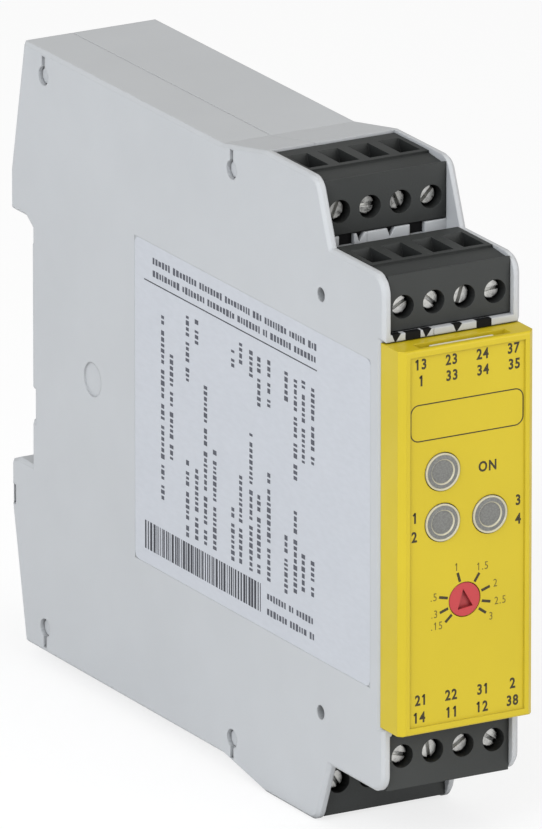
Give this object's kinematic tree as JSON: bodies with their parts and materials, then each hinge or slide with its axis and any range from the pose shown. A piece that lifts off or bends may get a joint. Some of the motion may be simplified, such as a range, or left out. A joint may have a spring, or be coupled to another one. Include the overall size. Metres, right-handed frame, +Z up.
{
  "type": "safety relay",
  "caption": "Narrow rail-mounted relay module: stepped grey housing, plug-in screw terminal blocks, yellow front cover with lenses and a dial, and a sprung foot latch.",
  "frame": {"origin": "centre of the flat seat that rests on the mounting rail's flanges, midway across the housing", "axes": "+Y points from the rail seat back towards the rail, so the yellow front faces -Y; +Z is up; +X runs across the housing's narrow width"},
  "size_m": [0.0226, 0.1141, 0.0966],
  "materials": {
    "housing_plastic": "pale grey fine-textured moulded plastic",
    "cover_plastic": "yellow moulded plastic with a fine satin grain",
    "terminal_plastic": "dark grey glass-filled moulded plastic",
    "strip_plastic": "cream plastic marker strip",
    "label_paper": "pale satin printed label",
    "lens_plastic": "smoke-clear moulded lenses",
    "dial_plastic": "red moulded dial with a dark sunk arrow",
    "control_plastic": "black moulded case",
    "latch_plastic": "black moulded slide",
    "spring_steel": "drawn spring wire",
    "screw_steel": "zinc-plated screw steel with a turned slot",
    "cage_steel": "zinc-plated pressed steel",
    "contact_metal": "tin-plated brass strip",
    "board_laminate": "green glass-fibre board",
    "lamp_plastic": "white lamp chips",
    "relay_plastic": "pale sealed relay case",
    "capacitor_sleeve": "dark shrink sleeve",
    "header_plastic": "black moulded pin header with plated pins"
  },
  "bodies": {
    "housing": {"left_shell": "housing_plastic", "right_shell": "housing_plastic", "front_cover": "cover_plastic", "marker_strip": "strip_plastic", "rating_label": "label_paper", "light_guide": "lens_plastic", "potentiometer": "control_plastic", "latch_spring": "spring_steel", "capacitor": "capacitor_sleeve", "main_board": "board_laminate", "front_board": "board_laminate", "status_lamps": "lamp_plastic", "relay_upper": "relay_plastic", "relay_lower": "relay_plastic", "header_upper_rear": "header_plastic", "header_upper_front": "header_plastic", "header_lower_front": "header_plastic", "header_lower_rear": "header_plastic"},
    "dial": {"dial_knob": "dial_plastic"},
    "latch": {"rail_latch": "latch_plastic"},
    "plug_upper_rear": {"plug_upper_rear": "terminal_plastic", "contacts_upper_rear": "contact_metal"},
    "screw_upper_rear_1": {"screw_upper_rear_1": "screw_steel"},
    "cage_upper_rear_1": {"cage_upper_rear_1": "cage_steel"},
    "screw_upper_rear_2": {"screw_upper_rear_2": "screw_steel"},
    "cage_upper_rear_2": {"cage_upper_rear_2": "cage_steel"},
    "screw_upper_rear_3": {"screw_upper_rear_3": "screw_steel"},
    "cage_upper_rear_3": {"cage_upper_rear_3": "cage_steel"},
    "screw_upper_rear_4": {"screw_upper_rear_4": "screw_steel"},
    "cage_upper_rear_4": {"cage_upper_rear_4": "cage_steel"},
    "plug_upper_front": {"plug_upper_front": "terminal_plastic", "contacts_upper_front": "contact_metal"},
    "screw_upper_front_1": {"screw_upper_front_1": "screw_steel"},
    "cage_upper_front_1": {"cage_upper_front_1": "cage_steel"},
    "screw_upper_front_2": {"screw_upper_front_2": "screw_steel"},
    "cage_upper_front_2": {"cage_upper_front_2": "cage_steel"},
    "screw_upper_front_3": {"screw_upper_front_3": "screw_steel"},
    "cage_upper_front_3": {"cage_upper_front_3": "cage_steel"},
    "screw_upper_front_4": {"screw_upper_front_4": "screw_steel"},
    "cage_upper_front_4": {"cage_upper_front_4": "cage_steel"},
    "plug_lower_front": {"plug_lower_front": "terminal_plastic", "contacts_lower_front": "contact_metal"},
    "screw_lower_front_1": {"screw_lower_front_1": "screw_steel"},
    "cage_lower_front_1": {"cage_lower_front_1": "cage_steel"},
    "screw_lower_front_2": {"screw_lower_front_2": "screw_steel"},
    "cage_lower_front_2": {"cage_lower_front_2": "cage_steel"},
    "screw_lower_front_3": {"screw_lower_front_3": "screw_steel"},
    "cage_lower_front_3": {"cage_lower_front_3": "cage_steel"},
    "screw_lower_front_4": {"screw_lower_front_4": "screw_steel"},
    "cage_lower_front_4": {"cage_lower_front_4": "cage_steel"},
    "plug_lower_rear": {"plug_lower_rear": "terminal_plastic", "contacts_lower_rear": "contact_metal"},
    "screw_lower_rear_1": {"screw_lower_rear_1": "screw_steel"},
    "cage_lower_rear_1": {"cage_lower_rear_1": "cage_steel"},
    "screw_lower_rear_2": {"screw_lower_rear_2": "screw_steel"},
    "cage_lower_rear_2": {"cage_lower_rear_2": "cage_steel"},
    "screw_lower_rear_3": {"screw_lower_rear_3": "screw_steel"},
    "cage_lower_rear_3": {"cage_lower_rear_3": "cage_steel"},
    "screw_lower_rear_4": {"screw_lower_rear_4": "screw_steel"},
    "cage_lower_rear_4": {"cage_lower_rear_4": "cage_steel"}
  },
  "joints": [
    {"name": "dial_turn", "type": "hinge", "parent": "housing", "child": "dial", "pos_m": [-0.0003, -0.106, -0.0097], "axis": [0, -1, 0], "range_deg": [-125, 132]},
    {"name": "latch_pull", "type": "slide", "parent": "housing", "child": "latch", "axis": [0, 0, -1], "range_m": [0, 0.003], "stiffness_N_per_m": 800, "springref_m": -0.002, "deforming": ["latch_spring"]},
    {"name": "plug_upper_rear_pull", "type": "slide", "parent": "housing", "child": "plug_upper_rear", "axis": [0, -1, 0], "range_m": [0, 0.025]},
    {"name": "screw_upper_rear_1_turn", "type": "hinge", "parent": "plug_upper_rear", "child": "screw_upper_rear_1", "pos_m": [-0.0075, -0.0827, 0.0427], "axis": [0, 1, 0], "range_deg": [0, 1370]},
    {"name": "cage_upper_rear_1_rise", "type": "slide", "parent": "plug_upper_rear", "child": "cage_upper_rear_1", "axis": [0, -1, 0], "range_m": [0, 0.0019]},
    {"name": "screw_upper_rear_2_turn", "type": "hinge", "parent": "plug_upper_rear", "child": "screw_upper_rear_2", "pos_m": [-0.0025, -0.0827, 0.0427], "axis": [0, 1, 0], "range_deg": [0, 1370]},
    {"name": "cage_upper_rear_2_rise", "type": "slide", "parent": "plug_upper_rear", "child": "cage_upper_rear_2", "axis": [0, -1, 0], "range_m": [0, 0.0019]},
    {"name": "screw_upper_rear_3_turn", "type": "hinge", "parent": "plug_upper_rear", "child": "screw_upper_rear_3", "pos_m": [0.0025, -0.0827, 0.0427], "axis": [0, 1, 0], "range_deg": [0, 1370]},
    {"name": "cage_upper_rear_3_rise", "type": "slide", "parent": "plug_upper_rear", "child": "cage_upper_rear_3", "axis": [0, -1, 0], "range_m": [0, 0.0019]},
    {"name": "screw_upper_rear_4_turn", "type": "hinge", "parent": "plug_upper_rear", "child": "screw_upper_rear_4", "pos_m": [0.0075, -0.0827, 0.0427], "axis": [0, 1, 0], "range_deg": [0, 1370]},
    {"name": "cage_upper_rear_4_rise", "type": "slide", "parent": "plug_upper_rear", "child": "cage_upper_rear_4", "axis": [0, -1, 0], "range_m": [0, 0.0019]},
    {"name": "plug_upper_front_pull", "type": "slide", "parent": "housing", "child": "plug_upper_front", "axis": [0, -1, 0], "range_m": [0, 0.025]},
    {"name": "screw_upper_front_1_turn", "type": "hinge", "parent": "plug_upper_front", "child": "screw_upper_front_1", "pos_m": [-0.0075, -0.1009, 0.03355], "axis": [0, 1, 0], "range_deg": [0, 1370]},
    {"name": "cage_upper_front_1_rise", "type": "slide", "parent": "plug_upper_front", "child": "cage_upper_front_1", "axis": [0, -1, 0], "range_m": [0, 0.0019]},
    {"name": "screw_upper_front_2_turn", "type": "hinge", "parent": "plug_upper_front", "child": "screw_upper_front_2", "pos_m": [-0.0025, -0.1009, 0.03355], "axis": [0, 1, 0], "range_deg": [0, 1370]},
    {"name": "cage_upper_front_2_rise", "type": "slide", "parent": "plug_upper_front", "child": "cage_upper_front_2", "axis": [0, -1, 0], "range_m": [0, 0.0019]},
    {"name": "screw_upper_front_3_turn", "type": "hinge", "parent": "plug_upper_front", "child": "screw_upper_front_3", "pos_m": [0.0025, -0.1009, 0.03355], "axis": [0, 1, 0], "range_deg": [0, 1370]},
    {"name": "cage_upper_front_3_rise", "type": "slide", "parent": "plug_upper_front", "child": "cage_upper_front_3", "axis": [0, -1, 0], "range_m": [0, 0.0019]},
    {"name": "screw_upper_front_4_turn", "type": "hinge", "parent": "plug_upper_front", "child": "screw_upper_front_4", "pos_m": [0.0075, -0.1009, 0.03355], "axis": [0, 1, 0], "range_deg": [0, 1370]},
    {"name": "cage_upper_front_4_rise", "type": "slide", "parent": "plug_upper_front", "child": "cage_upper_front_4", "axis": [0, -1, 0], "range_m": [0, 0.0019]},
    {"name": "plug_lower_front_pull", "type": "slide", "parent": "housing", "child": "plug_lower_front", "axis": [0, -1, 0], "range_m": [0, 0.025]},
    {"name": "screw_lower_front_1_turn", "type": "hinge", "parent": "plug_lower_front", "child": "screw_lower_front_1", "pos_m": [-0.0075, -0.1009, -0.03355], "axis": [0, 1, 0], "range_deg": [0, 1370]},
    {"name": "cage_lower_front_1_rise", "type": "slide", "parent": "plug_lower_front", "child": "cage_lower_front_1", "axis": [0, -1, 0], "range_m": [0, 0.0019]},
    {"name": "screw_lower_front_2_turn", "type": "hinge", "parent": "plug_lower_front", "child": "screw_lower_front_2", "pos_m": [-0.0025, -0.1009, -0.03355], "axis": [0, 1, 0], "range_deg": [0, 1370]},
    {"name": "cage_lower_front_2_rise", "type": "slide", "parent": "plug_lower_front", "child": "cage_lower_front_2", "axis": [0, -1, 0], "range_m": [0, 0.0019]},
    {"name": "screw_lower_front_3_turn", "type": "hinge", "parent": "plug_lower_front", "child": "screw_lower_front_3", "pos_m": [0.0025, -0.1009, -0.03355], "axis": [0, 1, 0], "range_deg": [0, 1370]},
    {"name": "cage_lower_front_3_rise", "type": "slide", "parent": "plug_lower_front", "child": "cage_lower_front_3", "axis": [0, -1, 0], "range_m": [0, 0.0019]},
    {"name": "screw_lower_front_4_turn", "type": "hinge", "parent": "plug_lower_front", "child": "screw_lower_front_4", "pos_m": [0.0075, -0.1009, -0.03355], "axis": [0, 1, 0], "range_deg": [0, 1370]},
    {"name": "cage_lower_front_4_rise", "type": "slide", "parent": "plug_lower_front", "child": "cage_lower_front_4", "axis": [0, -1, 0], "range_m": [0, 0.0019]},
    {"name": "plug_lower_rear_pull", "type": "slide", "parent": "housing", "child": "plug_lower_rear", "axis": [0, -1, 0], "range_m": [0, 0.025]},
    {"name": "screw_lower_rear_1_turn", "type": "hinge", "parent": "plug_lower_rear", "child": "screw_lower_rear_1", "pos_m": [-0.0075, -0.0827, -0.0427], "axis": [0, 1, 0], "range_deg": [0, 1370]},
    {"name": "cage_lower_rear_1_rise", "type": "slide", "parent": "plug_lower_rear", "child": "cage_lower_rear_1", "axis": [0, -1, 0], "range_m": [0, 0.0019]},
    {"name": "screw_lower_rear_2_turn", "type": "hinge", "parent": "plug_lower_rear", "child": "screw_lower_rear_2", "pos_m": [-0.0025, -0.0827, -0.0427], "axis": [0, 1, 0], "range_deg": [0, 1370]},
    {"name": "cage_lower_rear_2_rise", "type": "slide", "parent": "plug_lower_rear", "child": "cage_lower_rear_2", "axis": [0, -1, 0], "range_m": [0, 0.0019]},
    {"name": "screw_lower_rear_3_turn", "type": "hinge", "parent": "plug_lower_rear", "child": "screw_lower_rear_3", "pos_m": [0.0025, -0.0827, -0.0427], "axis": [0, 1, 0], "range_deg": [0, 1370]},
    {"name": "cage_lower_rear_3_rise", "type": "slide", "parent": "plug_lower_rear", "child": "cage_lower_rear_3", "axis": [0, -1, 0], "range_m": [0, 0.0019]},
    {"name": "screw_lower_rear_4_turn", "type": "hinge", "parent": "plug_lower_rear", "child": "screw_lower_rear_4", "pos_m": [0.0075, -0.0827, -0.0427], "axis": [0, 1, 0], "range_deg": [0, 1370]},
    {"name": "cage_lower_rear_4_rise", "type": "slide", "parent": "plug_lower_rear", "child": "cage_lower_rear_4", "axis": [0, -1, 0], "range_m": [0, 0.0019]}
  ],
  "couplings": [
    {"joint": "screw_upper_rear_1_turn", "follows": "cage_upper_rear_1_rise", "rad_per_m": 12566},
    {"joint": "screw_upper_rear_2_turn", "follows": "cage_upper_rear_2_rise", "rad_per_m": 12566},
    {"joint": "screw_upper_rear_3_turn", "follows": "cage_upper_rear_3_rise", "rad_per_m": 12566},
    {"joint": "screw_upper_rear_4_turn", "follows": "cage_upper_rear_4_rise", "rad_per_m": 12566},
    {"joint": "screw_upper_front_1_turn", "follows": "cage_upper_front_1_rise", "rad_per_m": 12566},
    {"joint": "screw_upper_front_2_turn", "follows": "cage_upper_front_2_rise", "rad_per_m": 12566},
    {"joint": "screw_upper_front_3_turn", "follows": "cage_upper_front_3_rise", "rad_per_m": 12566},
    {"joint": "screw_upper_front_4_turn", "follows": "cage_upper_front_4_rise", "rad_per_m": 12566},
    {"joint": "screw_lower_front_1_turn", "follows": "cage_lower_front_1_rise", "rad_per_m": 12566},
    {"joint": "screw_lower_front_2_turn", "follows": "cage_lower_front_2_rise", "rad_per_m": 12566},
    {"joint": "screw_lower_front_3_turn", "follows": "cage_lower_front_3_rise", "rad_per_m": 12566},
    {"joint": "screw_lower_front_4_turn", "follows": "cage_lower_front_4_rise", "rad_per_m": 12566},
    {"joint": "screw_lower_rear_1_turn", "follows": "cage_lower_rear_1_rise", "rad_per_m": 12566},
    {"joint": "screw_lower_rear_2_turn", "follows": "cage_lower_rear_2_rise", "rad_per_m": 12566},
    {"joint": "screw_lower_rear_3_turn", "follows": "cage_lower_rear_3_rise", "rad_per_m": 12566},
    {"joint": "screw_lower_rear_4_turn", "follows": "cage_lower_rear_4_rise", "rad_per_m": 12566}
  ]
}
